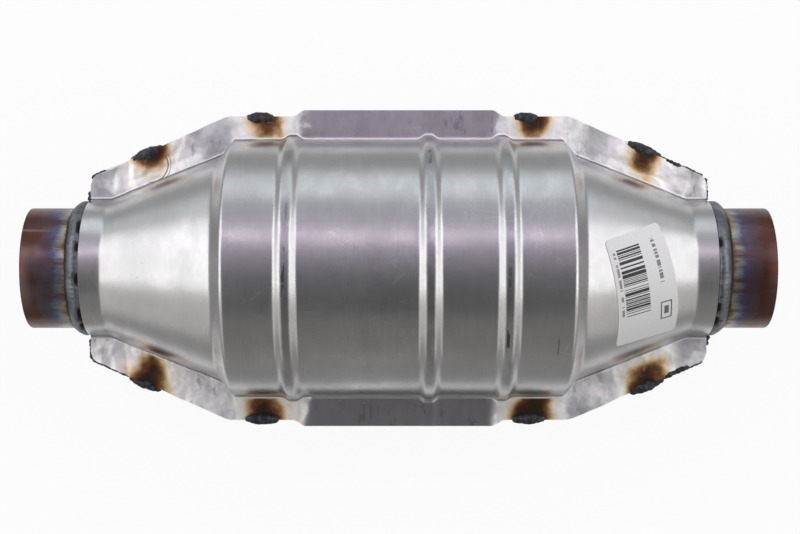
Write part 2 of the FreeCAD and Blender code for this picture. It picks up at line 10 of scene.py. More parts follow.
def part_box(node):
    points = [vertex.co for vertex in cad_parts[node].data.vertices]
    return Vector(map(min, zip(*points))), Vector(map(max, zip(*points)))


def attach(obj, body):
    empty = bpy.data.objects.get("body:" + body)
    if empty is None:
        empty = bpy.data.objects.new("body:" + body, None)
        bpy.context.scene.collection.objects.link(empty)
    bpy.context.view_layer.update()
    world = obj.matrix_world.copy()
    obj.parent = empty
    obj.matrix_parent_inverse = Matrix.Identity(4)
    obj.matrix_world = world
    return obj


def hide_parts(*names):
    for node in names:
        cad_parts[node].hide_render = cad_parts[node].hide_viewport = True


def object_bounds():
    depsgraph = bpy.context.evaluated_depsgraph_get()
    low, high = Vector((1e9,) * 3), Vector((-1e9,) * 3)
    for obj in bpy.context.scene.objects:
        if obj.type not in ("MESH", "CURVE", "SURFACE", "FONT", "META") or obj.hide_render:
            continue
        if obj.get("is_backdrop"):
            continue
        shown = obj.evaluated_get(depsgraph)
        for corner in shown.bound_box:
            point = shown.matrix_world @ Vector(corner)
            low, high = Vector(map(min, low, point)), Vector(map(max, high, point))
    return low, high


bl_info = {
    "name": "Catalytic converter",
    "version": (1, 0, 0),
    "blender": (4, 5, 0),
    "location": "View3D > Sidebar > Converter",
    "description": "Pressed shields, tinted stubs, welds and foil core of an exhaust converter",
    "category": "Object",
}

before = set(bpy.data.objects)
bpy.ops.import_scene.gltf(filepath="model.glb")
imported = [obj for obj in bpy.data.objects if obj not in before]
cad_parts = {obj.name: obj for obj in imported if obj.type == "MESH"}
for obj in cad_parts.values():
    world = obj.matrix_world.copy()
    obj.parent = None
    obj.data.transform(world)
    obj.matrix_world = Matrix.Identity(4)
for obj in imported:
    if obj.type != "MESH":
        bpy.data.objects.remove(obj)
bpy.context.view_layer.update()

MM = 0.001
PI = math.pi

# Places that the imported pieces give: the ends along X, and how far the flanges reach along Y.
SHELL_END, WIDE_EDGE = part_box("upper_heat_shield")[1][:2]
PIPE_START, PIPE_END = [corner[0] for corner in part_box("outlet_pipe")]
RING_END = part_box("outlet_pipe_weld")[1][0]
CORE_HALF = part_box("foil_core")[1][0]

# The shields' outside, as (X, radius) corners with their bend radii, from the outlet end inwards.
NECK_RADIUS, BARREL_RADIUS = 30.3 * MM, 57.0 * MM
NECK_BEND_X, SHOULDER_X, SHOULDER_RADIUS, BARREL_END = 129.4 * MM, 79.5 * MM, 50.26 * MM, 74.5 * MM
END_CORNERS = (
    ((SHELL_END, NECK_RADIUS), 0.0),
    ((NECK_BEND_X, NECK_RADIUS), -4.0 * MM),
    ((SHOULDER_X, SHOULDER_RADIUS), -4.0 * MM),
    ((BARREL_END, BARREL_RADIUS), 2.5 * MM),
)
RIB_PLACES = (-47.5 * MM, 13.5 * MM, 46.5 * MM)
RIB_HALF_FOOT, RIB_HALF_CREST = 4.75 * MM, 2.0 * MM
RIB_FOOT_BEND, RIB_CREST_BEND = 2.6 * MM, 3.2 * MM
ROOT_BEND = 1.4 * MM

# The flanges' edge, as (X, Y) corners with their rounds, from the middle outwards.
WELD_EDGE, END_EDGE = 68.4 * MM, 41.0 * MM
FLANGE_CORNERS = (
    ((43.0 * MM, WIDE_EDGE), 3.0 * MM),
    ((47.0 * MM, WELD_EDGE), 3.0 * MM),
    ((77.0 * MM, WELD_EDGE), 12.0 * MM),
    ((SHELL_END, END_EDGE), 5.0 * MM),
)

# The doubled crease of a welding pad, painted as shade only, the places of the tack welds, and how
# far their heat shows.
PAD_CENTRE, PAD_RADIUS = (-112.0 * MM, 46.5 * MM, 0.0), 8.0 * MM
BARREL_TACK, CONE_TACK = (60.0 * MM, WELD_EDGE), (112.5 * MM, 52.7 * MM)
TINT_REACH = 15.5 * MM

# Stubs, ring welds and foil core.
PIPE_INNER, PIPE_OUTER, RING_TOP = 25.0 * MM, 27.0 * MM, 30.0 * MM
CORE_RADIUS, CORE_EYE, WAVE_PITCH = 49.45 * MM, 1.6 * MM, 2.5 * MM

# The sticker leans round the cone from the top, and is turned on it.
STICKER_LEAN, STICKER_TURN = math.radians(13.0), math.radians(10.5)


class ConverterSizes(bpy.types.PropertyGroup):
    sheet: bpy.props.FloatProperty(
        name="Sheet", description="Thickness of the pressed shields",
        default=1.5 * MM, unit="LENGTH")
    rib_height: bpy.props.FloatProperty(
        name="Rib height", description="How far the ribs stand out of the barrel",
        default=2.0 * MM, unit="LENGTH")
    waviness: bpy.props.FloatProperty(
        name="Waviness", description="How far the flanges are bent out of true by welding",
        default=0.9 * MM, unit="LENGTH")
    foil_layer: bpy.props.FloatProperty(
        name="Foil layer", description="Height of one flat and one waved foil",
        default=1.35 * MM, unit="LENGTH")
    foil: bpy.props.FloatProperty(
        name="Foil", description="Thickness of the foil with its coat",
        default=0.11 * MM, unit="LENGTH")


class ConverterColours(bpy.types.PropertyGroup):
    steel: bpy.props.FloatVectorProperty(
        name="Steel", description="Plain stainless sheet", subtype="COLOR",
        default=(0.615, 0.61, 0.61))
    flange_steel: bpy.props.FloatVectorProperty(
        name="Flange", description="Stainless flange, faintly mauve from the press and the heat",
        subtype="COLOR", default=(0.545, 0.525, 0.55))
    bleached: bpy.props.FloatVectorProperty(
        name="Bleached flange", description="Flange whitened by the heat of the welds",
        subtype="COLOR", default=(0.95, 0.95, 0.94))
    straw: bpy.props.FloatVectorProperty(
        name="Straw tint", description="Outer ring of the heat tint by a weld", subtype="COLOR",
        default=(0.72, 0.52, 0.29))
    brown: bpy.props.FloatVectorProperty(
        name="Brown tint", description="Inner ring of the heat tint by a weld", subtype="COLOR",
        default=(0.25, 0.098, 0.028))
    oxide: bpy.props.FloatVectorProperty(
        name="Oxide", description="Black scale on the tack welds", subtype="COLOR",
        default=(0.028, 0.030, 0.034))
    bead: bpy.props.FloatVectorProperty(
        name="Weld bead", description="Grey skin of the ring welds", subtype="COLOR",
        default=(0.20, 0.215, 0.235))
    bronze: bpy.props.FloatVectorProperty(
        name="Bronze tint", description="Heat tint at a stub's rim", subtype="COLOR",
        default=(0.12, 0.052, 0.040))
    violet: bpy.props.FloatVectorProperty(
        name="Violet tint", description="Heat tint in the middle of a stub", subtype="COLOR",
        default=(0.105, 0.078, 0.108))
    paper: bpy.props.FloatVectorProperty(
        name="Sticker", description="White of the sticker", subtype="COLOR",
        default=(0.785, 0.79, 0.775))
    fibre: bpy.props.FloatVectorProperty(
        name="Fibre mat", description="White of the fibre mats", subtype="COLOR",
        default=(0.80, 0.78, 0.72))


class Wire:
    """A shader socket that can be calculated with. node() adds any node and gives its output."""

    def __init__(self, tree, socket=None):
        self.tree = tree
        self.socket = socket

    def node(self, kind, sockets=(), out=0, stops=None, **settings):
        """Adds a node: its settings, then a ramp's stops, then its sockets' values or links."""
        node = self.tree.nodes.new(kind)
        for name, setting in settings.items():
            setattr(node, name, setting)
        if stops:
            ramp = node.color_ramp.elements
            while len(ramp) < len(stops):
                ramp.new(1.0)
            for element, (place, colour) in zip(ramp, stops):
                element.position = place
                element.color = (*colour, 1.0)
        for name, given in dict(sockets).items():
            if isinstance(given, Wire):
                self.tree.links.new(given.socket, node.inputs[name])
            else:
                node.inputs[name].default_value = given
        return Wire(self.tree, node.outputs[out]) if node.outputs else node

    def maths(self, operation, *operands):
        return self.node("ShaderNodeMath", enumerate(operands), operation=operation)

    def vectors(self, operation, *operands, out=0):
        return self.node("ShaderNodeVectorMath", enumerate(operands), out, operation=operation)

    def own(self, operation, *others):
        """Maths that starts with this socket."""
        return self.maths(operation, self, *others)

    __add__ = __radd__ = partialmethod(own, "ADD")
    __sub__ = partialmethod(own, "SUBTRACT")
    __mul__ = __rmul__ = partialmethod(own, "MULTIPLY")
    __truediv__ = partialmethod(own, "DIVIDE")
    least = partialmethod(own, "MINIMUM")
    most = partialmethod(own, "MAXIMUM")
    size = partialmethod(own, "ABSOLUTE")

    def __rsub__(self, other):
        return self.maths("SUBTRACT", other, self)

    def step(self, low, high):
        """Rises smoothly from 0 at low to 1 at high, or falls where low is the larger."""
        turned = low > high
        ends = (high, low, 1.0, 0.0) if turned else (low, high, 0.0, 1.0)
        names = ("From Min", "From Max", "To Min", "To Max")
        return self.node("ShaderNodeMapRange", {"Value": self, **dict(zip(names, ends))},
                         interpolation_type="SMOOTHSTEP")

    def mixed(self, first, second):
        """Colour that goes from first to second as this mask goes from 0 to 1."""
        colours = [c if isinstance(c, Wire) else (*c, 1.0) for c in (first, second)]
        return self.node("ShaderNodeMix", {0: self, 6: colours[0], 7: colours[1]}, out=2,
                         data_type="RGBA")

    def speckle(self, vector, scale, detail=2.0, roughness=0.5, distortion=0.0):
        return self.node("ShaderNodeTexNoise", {
            "Vector": vector, "Scale": scale, "Detail": detail,
            "Roughness": roughness, "Distortion": distortion})

    def stretched(self, vector, scale, turn=(0.0, 0.0, 0.0)):
        return self.node("ShaderNodeMapping", {"Vector": vector, "Scale": scale, "Rotation": turn})

    def axis(self, vector, number):
        return self.node("ShaderNodeSeparateXYZ", {"Vector": vector}, out=number)

    def object_place(self):
        return self.node("ShaderNodeTexCoord", out=3)

    def sheet_place(self):
        return self.node("ShaderNodeUVMap", uv_map="developed")

    def painted(self, name):
        return self.node("ShaderNodeAttribute", attribute_name=name, out=2)

    def bump(self, height, distance, strength=1.0, **more):
        return self.node("ShaderNodeBump", {
            "Height": height, "Distance": distance, "Strength": strength, **more})


def dimmed(colour, share):
    return tuple(share * channel for channel in colour)


def colours():
    return bpy.context.scene.converter_colours


def sizes():
    return bpy.context.scene.converter_sizes


def new_finish(name):
    """Starts a finish, and gives the colours, its wire and the place on the piece."""
    material = bpy.data.materials.new(name)
    material.use_nodes = True
    material.node_tree.nodes.clear()
    wire = Wire(material.node_tree)
    return colours(), wire, wire.object_place()


def surface(wire, colour, metallic, roughness, normal, specular=0.5):
    """Ends a finish with its surface."""
    shader = wire.node("ShaderNodeBsdfPrincipled", {
        "Base Color": colour, "Metallic": metallic, "Roughness": roughness, "Normal": normal,
        "Specular IOR Level": specular})
    wire.node("ShaderNodeOutputMaterial", {"Surface": shader})


# Finishes.


def scratches(wire, place, scale, stretch, turn, width):
    """Thin straight marks: where a drawn-out noise passes its middle value, in some places only."""
    drawn = wire.speckle(wire.stretched(place, stretch, turn), scale, 1.0)
    thin = (drawn - 0.5).size().step(width, 0.0)
    here = wire.speckle(wire.stretched(place, (1.0, 1.0, 1.0), turn), 60.0, 1.0).step(0.52, 0.66)
    return thin * here


def weld_heat(wire, place):
    """Distance in metres from the nearest tack weld, shorter towards the root and uneven."""
    mirrored = wire.vectors("ABSOLUTE", place)
    towards_root = 0.72
    gaps = []
    for x, y in (BARREL_TACK, CONE_TACK):
        off = wire.vectors("SUBTRACT", mirrored, (x, y, 0.0))
        squeezed = wire.vectors("MULTIPLY", off, (1.0, towards_root, 0.0))
        gaps.append(wire.vectors("LENGTH", squeezed, out=1))
    broad = wire.speckle(place, 70.0, 1.0)
    uneven = wire.speckle(place, 210.0, 4.0)
    milder_at_rear = wire.axis(place, 1).step(-10.0 * MM, 10.0 * MM) * (1.6 * MM)
    return (reduce(Wire.least, gaps) + milder_at_rear
            + (broad - 0.5) * (10.0 * MM) + (uneven - 0.5) * (5.0 * MM))


def pressed_sheet():
    """Satin stainless sheet with scuffs, pits, gouges and the heat tint round the welds."""
    paint, wire, place = new_finish("pressed_sheet")
    sheet = wire.sheet_place()
    lip = wire.painted("lip")
    flange = lip.step(-2.5, -0.2)
    x, y = wire.axis(place, 0), wire.axis(place, 1)

    cloud = wire.speckle(place, 24.0, 4.0, 0.55)
    mottle = wire.speckle(wire.stretched(place, (1.0, 0.6, 0.6)), 95.0, 4.0, 0.6)
    fine = wire.speckle(place, 640.0, 3.0, 0.65)
    grain = wire.speckle(wire.stretched(sheet, (800.0, 45.0, 1.0)), 1.0, 3.0, 0.6)
    steel = cloud.step(0.36, 0.66).mixed(paint.steel, dimmed(paint.steel, 0.83))
    steel = (mottle.step(0.40, 0.66) * 0.75).mixed(steel, dimmed(paint.steel, 0.76))
    steel = (fine.step(0.34, 0.70) * 0.5).mixed(steel, dimmed(paint.steel, 0.84))
    steel = (grain.step(0.34, 0.75) * 0.45).mixed(steel, dimmed(paint.steel, 0.84))

    # the flanges: mauve in the middle, bleached by the welds towards the ends with grey blotches
    # there, fewer on the outlet's rear and the inlet's front quarters, and darker mottle and spots
    # all over
    blotch = wire.speckle(place, 52.0, 3.0)
    darker_spots = wire.speckle(wire.stretched(place, (1.6, 0.7, 1.0)), 120.0, 4.0, 0.65)
    middle = (x.size() + (blotch - 0.5) * (16.0 * MM)).step(47.0 * MM, 39.0 * MM)
    paler = (x * y).step(-2000.0 * MM * MM, 3500.0 * MM * MM)
    patched = blotch.step(0.46, 0.56) * (1.0 - paler * 0.75)
    lips = patched.mixed(paint.bleached, (0.57, 0.56, 0.59))
    lips = middle.mixed(lips, paint.flange_steel)
    lips = (mottle.step(0.42, 0.66) * 0.6).mixed(lips, dimmed(paint.flange_steel, 0.72))
    lips = (darker_spots.step(0.56, 0.70) * 0.6).mixed(lips, (0.26, 0.255, 0.265))
    steel = flange.mixed(steel, lips)

    # heat tint: black and brown by the weld, then amber, straw and a white halo
    heat = weld_heat(wire, place)
    tint = wire.node("ShaderNodeValToRGB", {"Fac": heat / TINT_REACH}, stops=(
        (0.16, (0.022, 0.016, 0.010)),
        (0.31, dimmed(paint.brown, 0.22)),
        (0.42, dimmed(paint.brown, 0.75)),
        (0.49, tuple(0.55 * a + 0.35 * b for a, b in zip(paint.brown, paint.straw))),
        (0.56, paint.straw),
        (0.66, (0.90, 0.82, 0.67)),
        (0.82, (0.97, 0.95, 0.92)),
    ))
    tinted = heat.step(20.0 * MM, 12.5 * MM) * flange
    steel = tinted.mixed(steel, tint)

    # pits here and there, gouges and rub marks on the upper shield, and painted shade on the rib
    # crests
    crest = reduce(Wire.least, [(x - rib).size() for rib in RIB_PLACES])
    rubbed = wire.speckle(wire.stretched(place, (1.0, 0.22, 0.22)), 460.0, 3.0).step(0.44, 0.52)
    dark = wire.speckle(place, 620.0, 2.0).step(0.72, 0.76) * cloud.step(0.50, 0.60) * 0.35
    for mid_x, mid_y, half_x, half_y, depth in GOUGES:
        spot = (x - mid_x * MM).size().step(half_x * MM, 0.5 * half_x * MM)
        spot = spot * (y - mid_y * MM).size().step(half_y * MM, 0.8 * half_y * MM)
        dark = dark.most(spot * rubbed * depth)
    dark = dark * wire.axis(place, 2).step(-2.0 * MM, 0.0)
    steel = dark.mixed(steel, (0.045, 0.045, 0.05))
    # painted shade: the rib crests are darkened in patches, off the flanges
    crest_shade = crest.step(2.6 * MM, 0.8 * MM) * mottle.step(0.30, 0.62) * 0.40
    steel = (crest_shade * (1.0 - flange)).mixed(steel, (0.20, 0.205, 0.22))

    marks = scratches(wire, place, 14.0, (1.0, 5.0, 5.0), (0.0, 0.0, 0.5), 0.004)
    marks = marks.most(scratches(wire, place, 16.0, (7.0, 0.8, 0.8), (0.0, 0.0, -0.25), 0.005))
    steel = (marks * 0.30).mixed(steel, (0.80, 0.79, 0.77))

    # a fine ridge runs along the root, where the flange leaves the shell, raised by the bump below
    # and coloured as a painted highlight, with a painted shadow line beside it on the rear side
    rear_side = y.step(-5.0 * MM, 5.0 * MM)
    ridge = (lip + 0.35).size().step(0.95, 0.2)
    steel = (ridge * 0.85).mixed(steel, (0.95, 0.93, 0.92))
    shadow_line = (lip + 1.9).size().step(0.7, 0.0)
    steel = (shadow_line * rear_side * 0.5).mixed(steel, (0.12, 0.115, 0.11))

    # a doubled curved crease beside the inlet's rear cone tack, drawn only as painted shade along
    # its two lines
    flat_place = wire.stretched(place, (1.0, 1.0, 0.0))
    from_pad = wire.vectors("DISTANCE", flat_place, PAD_CENTRE, out=1)
    arc = (from_pad - PAD_RADIUS).size().step(0.40 * MM, 0.15 * MM)
    arc = arc.most((from_pad - PAD_RADIUS - 1.3 * MM).size().step(0.35 * MM, 0.1 * MM) * 0.7)
    arc = arc * (x - y * 0.6).step(-136.5 * MM, -134.0 * MM) * flange
    # painted shade in the two crease lines
    steel = (arc * 0.85).mixed(steel, (0.05, 0.04, 0.035))

    rough = (0.15 + cloud * 0.11 + mottle * 0.14 + fine * 0.06 + dark * 0.3
             + flange * (0.20 - middle * 0.17))
    relief = grain * 0.012 + fine * 0.020 + mottle * 0.10 + ridge * 0.11
    welded = flange * (1.0 - middle)
    uneven = wire.speckle(place, 30.0, 3.0) * 0.36 + wire.speckle(place, 105.0, 2.0) * (
        welded * 1.7)
    dented = wire.bump(uneven, MM, Normal=wire.bump(relief, MM))
    surface(wire, steel, 1.0 - welded * 0.42, rough, dented)


def tinted_tube():
    """Stainless tube with the bands of heat tint that run from the weld to the rim."""
    paint, wire, place = new_finish("tinted_tube")
    x = wire.axis(place, 0).size()
    lines = wire.speckle(wire.stretched(place, (8.0, 260.0, 260.0)), 1.0, 3.0, 0.6)
    patches = wire.speckle(wire.stretched(place, (60.0, 90.0, 90.0)), 1.0, 3.0)
    flecks = wire.speckle(wire.stretched(place, (220.0, 420.0, 420.0)), 1.0, 3.0, 0.7)
    wander = x + (patches - 0.5) * (8.0 * MM) + (flecks - 0.5) * (6.0 * MM)
    tint = wander.node("ShaderNodeMapRange", {
        "Value": wander, "From Min": RING_END, "From Max": PIPE_END})
    bands = tint.node("ShaderNodeValToRGB", {"Fac": tint}, stops=(
        (0.00, (0.20, 0.15, 0.085)),
        (0.07, (0.42, 0.38, 0.28)),
        (0.16, (0.26, 0.30, 0.34)),
        (0.27, (0.10, 0.11, 0.20)),
        (0.42, paint.violet),
        (0.58, (0.125, 0.075, 0.078)),
        (0.66, paint.bronze),
        (0.86, (0.115, 0.045, 0.030)),
        (1.00, (0.085, 0.040, 0.030)),
    ))
    streaked = lines.step(0.35, 0.72).mixed(bands, (0.10, 0.06, 0.06))
    colour = (wire.speckle(place, 34.0, 3.0).step(0.50, 0.75) * 0.35).mixed(
        streaked, (0.34, 0.31, 0.30))
    bare = wire.speckle(wire.stretched(place, (9.0, 170.0, 170.0)), 1.0, 2.0).step(0.64, 0.74)
    colour = (bare * patches.step(0.40, 0.60) * 0.4).mixed(colour, (0.40, 0.39, 0.41))
    rough = 0.27 + lines * 0.12 + patches * 0.08
    surface(wire, colour, 1.0, rough, wire.bump(lines + patches * 0.5, 0.03 * MM))


def ring_bead():
    """Grey-blue skin of a ring weld, brown at its toe, with painted black shade in its open gaps.
    """
    paint, wire, place = new_finish("ring_bead")
    x = wire.axis(place, 0).size()
    scale = wire.speckle(place, 420.0, 4.0)
    broad = wire.speckle(place, 90.0, 3.0)
    colour = broad.step(0.38, 0.66).mixed(paint.bead, dimmed(paint.bead, 0.72))
    colour = (scale.step(0.60, 0.72) * 0.7).mixed(colour, (0.05, 0.045, 0.04))
    toe = (x + (broad - 0.5) * (1.6 * MM)).step(RING_END - 1.5 * MM, RING_END - 0.5 * MM)
    colour = toe.mixed(colour, (0.045, 0.028, 0.015))
    # painted shade: the open gaps of the bead are coloured near black
    shaded_gap = wire.painted("shaded_gap")
    colour = shaded_gap.mixed(colour, (0.012, 0.009, 0.007))
    surface(wire, colour, 1.0 - shaded_gap.most(toe * 0.4), 0.36 + scale * 0.2 + shaded_gap * 0.3,
            wire.bump(scale, 0.12 * MM, 0.6))


def burnt_lump():
    """Black oxide scale with a faint sheen and rusty flecks."""
    paint, wire, place = new_finish("burnt_lump")
    scale = wire.speckle(place, 380.0, 5.0, 0.6)
    colour = scale.step(0.42, 0.70).mixed(paint.oxide, (0.085, 0.09, 0.10))
    fleck = wire.speckle(place, 210.0, 2.0).step(0.60, 0.72)
    colour = (fleck * 0.6).mixed(colour, (0.13, 0.045, 0.018))
    surface(wire, colour, 0.55, 0.34 + scale * 0.28, wire.bump(scale, 0.35 * MM, 0.7))


def inner_sheet():
    """Plain sheet of the inner can, dull and a little straw coloured from use."""
    _, wire, place = new_finish("inner_sheet")
    cloud = wire.speckle(place, 40.0, 4.0)
    grain = wire.speckle(wire.stretched(place, (260.0, 30.0, 30.0)), 1.0, 3.0)
    colour = cloud.step(0.35, 0.7).mixed((0.42, 0.40, 0.38), (0.36, 0.32, 0.27))
    surface(wire, colour, 1.0, 0.34 + grain * 0.16, wire.bump(grain, 0.04 * MM))


def wash_coat():
    """Steel foil under a dull beige wash coat."""
    _, wire, place = new_finish("wash_coat")
    cloud = wire.speckle(place, 120.0, 3.0)
    colour = cloud.step(0.35, 0.68).mixed((0.36, 0.32, 0.26), (0.22, 0.20, 0.17))
    surface(wire, colour, 0.35, 0.55 + cloud * 0.2, wire.bump(cloud, 0.05 * MM))


def ceramic_fibre():
    """Pressed white ceramic fibre."""
    paint, wire, place = new_finish("ceramic_fibre")
    strands = wire.speckle(wire.stretched(place, (1.0, 3.0, 3.0)), 500.0, 4.0, 0.7, 1.5)
    colour = strands.step(0.3, 0.7).mixed(paint.fibre, dimmed(paint.fibre, 0.82))
    surface(wire, colour, 0.0, 0.92, wire.bump(strands, 0.3 * MM))


def sticker_paper():
    """White sticker printed with plain stripes, dashes and a box that say nothing."""
    paint, wire, place = new_finish("sticker_paper")
    low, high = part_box("label")
    middle = (low + high) / 2
    slope = math.atan((SHOULDER_RADIUS - NECK_RADIUS) / (NECK_BEND_X - SHOULDER_X))
    lie = (Matrix.Rotation(STICKER_LEAN, 3, "X") @ Matrix.Rotation(slope, 3, "Y")
           @ Matrix.Rotation(STICKER_TURN, 3, "Z"))
    place = wire.node("ShaderNodeMapping", {
        "Vector": place, "Location": middle, "Rotation": lie.to_euler()},
        vector_type="TEXTURE")
    across, along = wire.axis(place, 0) / MM, wire.axis(place, 1) / MM

    def block(left, right, low_end, high_end):
        """A mask that is 1 inside a rectangle given in millimetres."""
        soft = 0.1
        inside = across.step(left, left + soft) * across.step(right + soft, right)
        return inside * along.step(low_end, low_end + soft) * along.step(
            high_end + soft, high_end)

    def cells(pitch, share, column=0.0):
        """Random stripes across the sticker, of the given pitch and share of ink."""
        chance = wire.node("ShaderNodeTexWhiteNoise", {
            "W": wire.maths("FLOOR", along / pitch) + column}, noise_dimensions="1D")
        return wire.maths("LESS_THAN", chance, share)

    bars = cells(0.33, 0.52) * block(-11.2, 0.6, -11.0, 19.0)
    ticks = cells(0.55, 0.62, 40.5) * block(-13.2, -12.0, -10.5, 18.5)
    dashes = cells(0.42, 0.60, 90.5) * block(6.6, 8.4, 0.0, 19.0)
    dashes = dashes.most(block(6.6, 8.4, 8.0, 9.0))
    box = block(5.5, 11.0, -17.0, -8.5) * (1.0 - block(6.1, 10.4, -16.4, -9.1))
    box = box.most(block(7.2, 9.4, -14.6, -10.8))
    ink = bars.most(ticks * 0.65).most(dashes * 0.75).most(box * 0.85)
    fibres = wire.speckle(place, 900.0, 3.0)
    paper = fibres.step(0.3, 0.7).mixed(paint.paper, dimmed(paint.paper, 0.97))
    colour = ink.mixed(paper, (0.022, 0.022, 0.025))
    surface(wire, colour, 0.0, 0.42, wire.bump(fibres, 0.02 * MM), specular=0.4)


def floor_white():
    """White floor that keeps the shadow; the metal sees it white nearby and greyer further off."""
    _, wire, place = new_finish("floor_white")
    camera, glossy, through = [
        wire.node("ShaderNodeLightPath", out=name)
        for name in ("Is Camera Ray", "Is Glossy Ray", "Is Transmission Ray")]
    off = wire.axis(place, 0).size().step(0.20, 0.27).most(
        wire.axis(place, 1).size().step(0.135, 0.185))
    far = wire.axis(place, 1).step(-0.6, 0.6).mixed((0.34, 0.335, 0.33), (0.42, 0.42, 0.42))
    tone = (off * (1.0 - camera)).mixed((1.0, 1.0, 1.0), far)
    matt = wire.node("ShaderNodeBsdfDiffuse", {"Color": tone})
    glow = wire.node("ShaderNodeEmission", {"Color": tone, "Strength": 1.0})
    seen = camera.most(glossy).most(through) * 0.90
    both = wire.node("ShaderNodeMixShader", {0: seen, 1: matt, 2: glow})
    wire.node("ShaderNodeOutputMaterial", {"Surface": both})


# Working in edit mode.


def only(*objects):
    """Leaves nothing selected but these objects."""
    if bpy.context.mode != "OBJECT":
        bpy.ops.object.mode_set(mode="OBJECT")
    bpy.ops.object.select_all(action="DESELECT")
    for one in objects:
        one.select_set(True)
    bpy.context.view_layer.objects.active = objects[0] if objects else None


def started(name):
    """The primitive that was just added, under its own name."""
    piece = bpy.context.view_layer.objects.active
    piece.name = piece.data.name = name
    return piece


def with_modifier(piece, kind, **settings):
    """Adds a modifier, sets it and applies it."""
    only(piece)
    bpy.ops.object.modifier_add(type=kind)
    modifier = piece.modifiers[-1]
    for name, setting in settings.items():
        setattr(modifier, name, setting)
    bpy.ops.object.modifier_apply(modifier=modifier.name)


def smooth(piece, angle=40.0):
    only(piece)
    bpy.ops.object.shade_smooth_by_angle(angle=math.radians(angle), keep_sharp_edges=False)


def settled(piece, finish, body="root"):
    """Gives a finished piece its place at the origin, its finish and its body."""
    only(piece)
    bpy.ops.object.transform_apply()
    piece.data.materials.clear()
    piece.data.materials.append(bpy.data.materials[finish])
    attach(piece, body)


def spun(name, section, steps=192):
    """A ring about X: its closed (X, radius) section is drawn point by point and spun round."""
    only()
    bpy.ops.mesh.primitive_plane_add(size=MM, location=(section[0][0], section[0][1], 0.0))
    ring = started(name)
    bpy.ops.object.transform_apply()
    bpy.ops.object.mode_set(mode="EDIT")
    bpy.ops.mesh.select_all(action="SELECT")
    bpy.ops.mesh.merge(type="CENTER")
    for here, onward in zip(section, section[1:]):
        bpy.ops.mesh.extrude_region_move(TRANSFORM_OT_translate={
            "value": (onward[0] - here[0], onward[1] - here[1], 0.0)})
    shape = bmesh.from_edit_mesh(ring.data)
    shape.verts.ensure_lookup_table()
    shape.edges.new((shape.verts[-1], shape.verts[0]))
    bmesh.update_edit_mesh(ring.data)
    bpy.ops.mesh.select_all(action="SELECT")
    bpy.ops.mesh.spin(steps=steps, angle=2 * PI, center=(0.0, 0.0, 0.0), axis=(1.0, 0.0, 0.0))
    bpy.ops.mesh.select_all(action="SELECT")
    bpy.ops.mesh.remove_doubles(threshold=0.002 * MM)
    bpy.ops.mesh.normals_make_consistent(inside=False)
    bpy.ops.object.mode_set(mode="OBJECT")
    return ring


def laid_grid(name, columns, rows):
    """A grid, with the number of the column and of the row that each of its points is in."""
    only()
    bpy.ops.mesh.primitive_grid_add(
        x_subdivisions=columns, y_subdivisions=rows, size=2.0, location=(0.0, 0.0, 0.0))
    piece = started(name)
    raw = np.empty(len(piece.data.vertices) * 3)
    piece.data.vertices.foreach_get("co", raw)
    share = (raw.reshape(-1, 3)[:, :2] + 1) / 2
    column, row = np.rint(share * (columns, rows)).astype(int).T
    return piece, column, row


def place_points(piece, x, y, z):
    piece.data.vertices.foreach_set("co", np.column_stack((x, y, z)).ravel())
    piece.data.update()


def noises(x, y, z):
    """Smooth noise at many places."""
    return np.array([noise.noise(Vector(place)) for place in np.broadcast(x, y, z)])


# Shapes of the pressed shields.

NEARLY_STRAIGHT, BEND_STEP = math.radians(89.9), math.radians(9.0)
SHELL_PITCH, EDGE_PITCH = 1.25 * MM, 2.0 * MM


def bent_line(corners, pitch):
    """Points, pitch apart at most, along ((x, y), bend radius) corners with round bends."""
    places = [Vector(place) for place, radius in corners]
    points = [places[0]]

    def run_to(target):
        start = points[-1].copy()
        count = max(1, math.ceil((target - start).length / pitch))
        points.extend(start.lerp(target, n / count) for n in range(1, count + 1))

    for number in range(1, len(places) - 1):
        place, radius = places[number], abs(corners[number][1])
        back = (places[number - 1] - place).normalized()
        onward = (places[number + 1] - place).normalized()
        half = back.angle(onward) / 2
        if radius == 0.0 or half > NEARLY_STRAIGHT:
            run_to(place)
            continue
        setback = radius / math.tan(half)
        run_to(place + back * setback)
        centre = place + (back + onward).normalized() * (radius / math.sin(half))
        first, last = points[-1] - centre, place + onward * setback - centre
        turn = first.angle_signed(last)
        count = max(3, math.ceil(abs(turn) / BEND_STEP))
        for n in range(1, count + 1):
            swing = first.copy()
            swing.rotate(Matrix.Rotation(-turn * n / count, 2))
            points.append(centre + swing)
    run_to(places[-1])
    return points


def shell_line(wall, rib_height):
    """Inner line of the pressed shell from the inlet end to the outlet end."""
    crest = BARREL_RADIUS + rib_height
    outer = [((-x, r), bend) for (x, r), bend in END_CORNERS]
    for rib in RIB_PLACES:
        outer += [
            ((rib - RIB_HALF_FOOT, BARREL_RADIUS), -RIB_FOOT_BEND),
            ((rib - RIB_HALF_CREST, crest), RIB_CREST_BEND),
            ((rib + RIB_HALF_CREST, crest), RIB_CREST_BEND),
            ((rib + RIB_HALF_FOOT, BARREL_RADIUS), -RIB_FOOT_BEND),
        ]
    outer += list(END_CORNERS)[::-1]
    inner = []
    for number, ((x, r), bend) in enumerate(outer):
        place = Vector((x, r))
        before = Vector(outer[max(number - 1, 0)][0])
        after = Vector(outer[min(number + 1, len(outer) - 1)][0])
        leans = [math.atan2(b.y - a.y, b.x - a.x) for a, b in ((before, place), (place, after))
                 if (b - a).length > 0]
        lean = sum(leans) / len(leans)
        shift = wall / math.cos((leans[0] - leans[-1]) / 2)
        moved = place + Vector((math.sin(lean), -math.cos(lean))) * shift
        radius = 0.0 if bend == 0.0 else abs(bend) - math.copysign(wall, bend)
        inner.append(((moved.x, moved.y), radius))
    return bent_line(inner, SHELL_PITCH)


